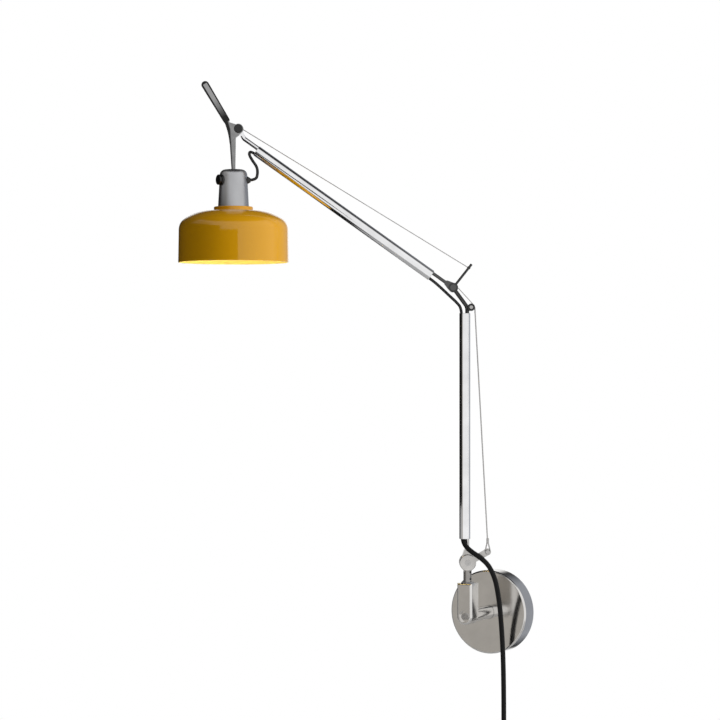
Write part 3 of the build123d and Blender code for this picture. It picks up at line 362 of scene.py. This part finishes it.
def metal(name, colour, roughness, grain=(60, 60, 60), grain_depth=0.02, smudge=0.05, shade=0.12):
    """Bare metal: fine grain along one direction, soft smudges, slight tone changes."""
    material, graph, shader, place = start_material(name)
    cloud = graph.noise(place, 38, 4)
    fine = graph.noise(graph.stretched(place, grain), 12, 2)
    dark = tuple(c * (1 - shade) for c in colour[:3]) + (1,)
    patches = graph.ramp(cloud, [(0.35, grey(0)), (0.7, grey(1))])
    graph.set(shader.inputs["Base Color"], graph.mix(patches, colour, dark))
    graph.set(shader.inputs["Roughness"], graph.math("MULTIPLY_ADD", cloud, smudge, roughness))
    shader.inputs["Metallic"].default_value = 1.0
    graph.set(shader.inputs["Normal"], graph.bump(fine, grain_depth))
    return material


def plastic(name, colour, roughness, bump_scale=900, depth=0.15):
    """Moulded plastic or rubber: an even colour with a fine grain."""
    material, graph, shader, place = start_material(name)
    cloud = graph.noise(place, 60, 3)
    light = tuple(min(1, c * 1.25 + 0.004) for c in colour[:3]) + (1,)
    graph.set(shader.inputs["Base Color"], graph.mix(cloud, colour, light))
    graph.set(shader.inputs["Roughness"], graph.math("MULTIPLY_ADD", cloud, 0.1, roughness))
    fine = graph.noise(place, bump_scale, 2)
    graph.set(shader.inputs["Normal"], graph.bump(fine, depth, 0.0001))
    return material


def shade_paint():
    """Glossy mustard lacquer outside, pale yellow inside."""
    material, graph, shader, place = start_material("shade_lacquer")
    from_lamp = graph.node("ShaderNodeVectorMath", {0: place, 1: LAMP}, operation="SUBTRACT").outputs[0]
    apart = graph.node("ShaderNodeSeparateXYZ", {"Vector": from_lamp})
    across = graph.node("ShaderNodeCombineXYZ", {"X": apart.outputs[0], "Y": apart.outputs[1]}).outputs[0]
    radius = graph.node("ShaderNodeVectorMath", {0: across}, operation="LENGTH").outputs["Value"]
    normal = graph.node("ShaderNodeTexCoord").outputs["Normal"]
    inward = graph.math("LESS_THAN", graph.dot(across, normal), -0.001)
    under = graph.node("ShaderNodeSeparateXYZ", {"Vector": normal}).outputs[2]
    roofed = graph.math("LESS_THAN", under, -0.3)
    inside = graph.math("MAXIMUM", inward, roofed)
    in_reach = graph.math("LESS_THAN", radius, SHADE_R - SHADE_WALL * 0.3)
    inside = graph.math("MULTIPLY", inside, in_reach)
    cloud = graph.noise(place, 14, 3)
    gold = graph.mix(cloud, *GOLD)
    lining = graph.mix(cloud, *LINING)
    graph.set(shader.inputs["Base Color"], graph.mix(inside, gold, lining))
    graph.set(shader.inputs["Roughness"], graph.math("MULTIPLY_ADD", graph.noise(place, 90, 2), 0.05, 0.3))
    shader.inputs["Specular IOR Level"].default_value = 0.1
    shader.inputs["Coat Weight"].default_value = 1.0
    shader.inputs["Coat Roughness"].default_value = 0.04
    graph.set(shader.inputs["Normal"], graph.bump(graph.noise(place, 320, 2), 0.03))
    turned = graph.node("ShaderNodeVectorMath", {0: across}, operation="NORMALIZE").outputs["Vector"]
    graph.set(shader.inputs["Coat Normal"], graph.bump(graph.noise(turned, 26, 2), 0.5, 0.0003))
    return material


def lit_glass():
    """Frosted bulb with its filament's warm glow."""
    material, graph, shader, place = start_material("bulb_lit")
    cloud = graph.noise(place, 40, 2)
    glow = graph.mix(cloud, (1.0, 0.86, 0.52, 1), (1.0, 0.78, 0.4, 1))
    graph.set(shader.inputs["Base Color"], glow)
    graph.set(shader.inputs["Emission Color"], glow)
    shader.inputs["Emission Strength"].default_value = BULB_GLOW
    shader.inputs["Roughness"].default_value = 0.5
    return material


def braid():
    """Black textile braid: two sets of diagonal yarns over the cord's UV map, round and along in metres."""
    material, graph, shader, place = start_material("cord_textile")
    uv = graph.node("ShaderNodeUVMap", uv_map="cord").outputs[0]
    split = graph.node("ShaderNodeSeparateXYZ", {"Vector": uv})
    turns = graph.math("MULTIPLY", split.outputs[0], BRAID_YARNS * tau)
    rise = graph.math("MULTIPLY", split.outputs[1], tau / BRAID_RISE)
    one = graph.math("SINE", graph.math("ADD", turns, rise))
    two = graph.math("SINE", graph.math("SUBTRACT", turns, rise))
    over = graph.math("MAXIMUM", one, two)
    lift = graph.math("MULTIPLY", graph.math("ADD", over, 1.0), 0.5)
    fuzz = graph.noise(place, 2600, 2)
    tone = graph.math("MULTIPLY", lift, graph.math("ADD", fuzz, 0.5))
    # the weave is the braid's own pattern; its darker dips between the yarns are painted shade
    graph.set(shader.inputs["Base Color"], graph.ramp(tone, [(0.1, grey(0.002)), (0.9, grey(0.014))]))
    shader.inputs["Roughness"].default_value = 0.8
    shader.inputs["Specular IOR Level"].default_value = 0.2
    shader.inputs["Sheen Weight"].default_value = 0.05
    graph.set(shader.inputs["Normal"], graph.bump(tone, 0.7, 0.0004))
    return material


def casting():
    """A chrome casting whose reflections are painted: a painted dark rim round the handle's inset and a
    painted dark left side on the web and stem; the inset and the right of the web and stem carry a painted
    highlight, and the inset fades dark towards the neck.
    """
    material, graph, shader, place = start_material("casting_painted_reflections")
    from_pivot = graph.node("ShaderNodeVectorMath", {0: place, 1: PIVOT}, operation="SUBTRACT").outputs[0]

    def measured(axis, origin=0.0):
        """How far along the axis from the origin."""
        return graph.math("SUBTRACT", graph.dot(from_pivot, axis), origin)

    def above(value, edge, blur=0.0006):
        """0 below the edge and 1 above it, with a soft step."""
        return graph.math("DIVIDE", graph.math("SUBTRACT", value, edge), blur, clamp=True)

    def below(value, edge):
        return above(graph.math("MULTIPLY", value, -1.0), -edge)

    grip = (RIGHT * HANDLE_RUN[0] + UP * HANDLE_RUN[1]).normalized()
    side = (RIGHT * HANDLE_RUN[1] - UP * HANDLE_RUN[0]).normalized()
    neck = RIGHT * HANDLE_NECK[0] + UP * HANDLE_NECK[1]
    reach = measured(grip, grip.dot(neck))
    beside = measured(side, side.dot(neck))
    on_handle = above(reach, -0.003)
    inset = graph.math("MULTIPLY", above(beside, INSET_SIDES[0]), below(beside, INSET_SIDES[1]))
    inset = graph.math("MULTIPLY", inset, below(reach, INSET_END))
    across = measured(RIGHT)
    height = measured(UP)
    upper_edge = graph.math("MULTIPLY_ADD", height, *WEB_UPPER)
    lower_edge = graph.math("MULTIPLY_ADD", height, *WEB_LOWER)
    # the web and stem right of these edges get a painted highlight; the rest is painted dark reflection
    painted_light_face = above(across, graph.math("MINIMUM", upper_edge, lower_edge), 0.0016)
    cloud = graph.noise(place, 120, 3)
    # painted highlight colour of the web and stem face, in random tones
    web = graph.mix(cloud, grey(0.2), grey(0.34))
    # near-black chrome: a painted dark reflection
    dark = grey(0.025)
    painted_inset_highlight = graph.mix(cloud, grey(0.3), grey(0.4))
    # handle: painted dark rim round the inset; the inset is a painted highlight that fades dark towards the
    # neck
    handle = graph.mix(inset, dark, graph.mix(above(reach, 0.006, 0.03), dark, painted_inset_highlight))
    graph.set(shader.inputs["Base Color"], graph.mix(on_handle, graph.mix(painted_light_face, dark, web), handle))
    graph.set(shader.inputs["Roughness"], graph.math("MULTIPLY_ADD", cloud, 0.08, 0.14))
    shader.inputs["Metallic"].default_value = 1.0
    fine = graph.noise(graph.stretched(place, (40, 40, 400)), 12, 2)
    graph.set(shader.inputs["Normal"], graph.bump(fine, 0.03))
    return material


def dress():
    """Gives every carried-over node the material of its slot, or one of its own."""
    finishes = {
        "chrome": metal("plate_chrome", (0.78, 0.765, 0.745, 1), 0.1, (30, 30, 30), 0.01, 0.08, 0.1),
        "steel": metal("fastener_steel", (0.5, 0.49, 0.48, 1), 0.25, (200, 200, 20), 0.05),
        "aluminium": metal("tube_polished", (0.9, 0.9, 0.91, 1), 0.06, (400, 400, 6), 0.02),
        "cup_metal": metal("cup_satin", (0.52, 0.525, 0.54, 1), 0.34, (300, 300, 8), 0.05, 0.06, 0.08),
        "black_plastic": plastic("moulded_black", (0.012, 0.012, 0.012, 1), 0.4),
        "button_plastic": plastic("button_black", (0.008, 0.008, 0.008, 1), 0.15, 500, 0.05),
        "grey_plastic": plastic("bush_grey", (0.3, 0.3, 0.31, 1), 0.45),
        "lead_rubber": plastic("lead_sheath", (0.008, 0.008, 0.009, 1), 0.5, 1400, 0.2),
        "cord_braid": plastic("cord_solid", (0.02, 0.02, 0.02, 1), 0.7),
        "shade_paint": shade_paint(),
        "bulb_glass": lit_glass(),
        "cap_metal": metal("cap_brass", (0.75, 0.6, 0.3, 1), 0.25),
    }
    dark = metal("fittings_dark", (0.06, 0.06, 0.06, 1), 0.18, (80, 80, 80), 0.02)
    plated = metal("fittings_plated", (0.11, 0.11, 0.11, 1), 0.1, (80, 80, 80), 0.02)
    hinge = metal("hinge_nickel", (0.6, 0.585, 0.565, 1), 0.12, (60, 60, 60), 0.03, 0.1, 0.25)
    post = metal("post_nickel", (0.36, 0.345, 0.33, 1), 0.14, (60, 60, 20), 0.03, 0.1, 0.25)
    special = {
        "head_casting": casting(),
        "upper_lever": dark,
        "elbow_bar": dark,
        "post_grub_screws": dark,
        "elbow_bolt": plated,
        "elbow_clevis": plated,
        "friction_disc": hinge,
        "lower_lever": hinge,
        "lower_clevis": hinge,
        "hinge_nut": hinge,
        "swivel_post": post,
    }
    slots = {part["node"]: part["material_slot"] for part in frame["record"]["subparts"]}
    for name, node in NODES.items():
        finish = special.get(name) or finishes[slots[name]]
        for slot in node.material_slots:
            slot.material = finish
        if not node.material_slots:
            node.data.materials.append(finish)


# ---------------------------------------------------------------- cord
def coil_points():
    """The coil's turns: in on the front layer, a climb, and out on the back layer."""
    line = in_arm_frame(PLUMB[0], PLUMB[1], 0)
    centre = Vector((line.x - COIL_R, line.y, COIL_Z))
    steps = [-COIL_PITCH / 2] * (2 * COIL_TURNS) + [COIL_PITCH / 2] * (2 * COIL_TURNS - 1)
    x = COIL_R
    radius = COIL_R
    depth = 0.0
    side = 1
    points = []
    for index in range(len(steps) + 1):
        climb = COIL_PITCH if index == 2 * COIL_TURNS else 0
        middle = x - side * radius
        for step in range(COIL_STEPS):
            turn = pi * step / COIL_STEPS
            across = middle + side * radius * cos(turn)
            back = depth + climb * step / COIL_STEPS
            points.append(centre + Vector((across, back, -side * radius * sin(turn))))
        x = middle - side * radius
        depth += climb
        side = -side
        if index < len(steps):
            radius += steps[index]
    foot = centre + Vector((x, depth, 0))
    return points, foot


def spline_points(control):
    """Points along a NURBS curve through the route's control points."""
    data = bpy.data.curves.new("cord_route", "CURVE")
    data.dimensions = "3D"
    data.resolution_u = 12
    spline = data.splines.new("NURBS")
    spline.points.add(len(control) - 1)
    for point, place in zip(spline.points, control):
        point.co = (*place, 1)
    spline.order_u = 3
    spline.use_endpoint_u = True
    holder = bpy.data.objects.new("cord_route", data)
    line = bpy.data.meshes.new_from_object(holder)
    points = [vertex.co.copy() for vertex in line.vertices]
    bpy.data.objects.remove(holder)
    return points


def tube(name, path, radius, material):
    """A closed tube along a path, with a UV map of turn and length; also its length."""
    sides = CORD_SIDES
    turns = [tau * k / sides for k in range(sides)]
    tangents = [(b - a).normalized() for a, b in zip(path, path[1:])]
    tangents.append(tangents[-1])
    side = tangents[0].orthogonal().normalized()
    rings = []
    along = [0.0]
    for index, (point, tangent) in enumerate(zip(path, tangents)):
        side = (side - tangent * side.dot(tangent)).normalized()
        other = tangent.cross(side)
        rings.append([point + (side * cos(turn) + other * sin(turn)) * radius for turn in turns])
        if index:
            along.append(along[-1] + (point - path[index - 1]).length)
    verts = [v for ring in rings for v in ring]
    faces = [
        (r * sides + k, r * sides + (k + 1) % sides, (r + 1) * sides + (k + 1) % sides, (r + 1) * sides + k)
        for r in range(len(path) - 1)
        for k in range(sides)
    ]
    wall = len(faces)
    faces.append(tuple(reversed(range(sides))))
    faces.append(tuple(range((len(path) - 1) * sides, len(path) * sides)))
    mesh = bpy.data.meshes.new(name)
    mesh.from_pydata(verts, [], faces)
    layer = mesh.uv_layers.new(name="cord")
    for polygon in mesh.polygons[:wall]:
        ring, column = divmod(polygon.index, sides)
        corners = ((column, ring), (column + 1, ring), (column + 1, ring + 1), (column, ring + 1))
        for loop, (k, r) in zip(polygon.loop_indices, corners):
            layer.data[loop].uv = (k / sides, along[r])
    mesh.polygons.foreach_set("use_smooth", [True] * len(mesh.polygons))
    mesh.materials.append(material)
    made = bpy.data.objects.new(name, mesh)
    bpy.context.collection.objects.link(made)
    return made, along[-1]


def make_cord():
    """The supply cord in two pieces that meet beside the hinge."""
    turns, foot = coil_points()
    route = [in_arm_frame(*point) for point in CORD_ROUTE]
    tail = [foot, foot - UP * TAIL / 2, foot - UP * TAIL]
    path = spline_points(route + turns + tail)
    cut = next(index for index, point in enumerate(path) if point.z < CORD_CUT)
    textile = braid()
    entry, entry_length = tube("cord_entry", path[:cut + 1], CORD_R, textile)
    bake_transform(entry)
    cord, length = tube("textile_cord", path[cut:], CORD_R, textile)
    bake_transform(cord)
    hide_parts("supply_cord", "cord_coil")


def make_lead(name, route, near, far, start, end):
    """A thin lead across the joint between two bodies, as one fixed tube."""
    path = spline_points([in_arm_frame(*point) for point in route])
    sheath = NODES["lower_lead"].material_slots[0].material
    lead, length = tube(name + "_bent", path, LEAD_R, sheath)
    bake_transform(lead)
    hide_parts(name)


make_camera()
make_world()
make_floor()
make_card("card_by_the_shade", LAMP, *SHADE_CARD)
make_card("card_by_the_tube", SWIVEL, *TUBE_CARD)
make_lamp("key", *KEY)
make_lamp("fill", *FILL)
dress()
make_cord()
elbow_bend = [in_arm_frame(*point) for point in ELBOW_BEND]
make_lead("elbow_lead", ELBOW_LEAD, "lower_arm", "upper_arm", *elbow_bend)
make_lead("head_lead", HEAD_LEAD, "upper_arm", "head", *HEAD_BEND)

bpy.context.scene.view_settings.view_transform = "Standard"
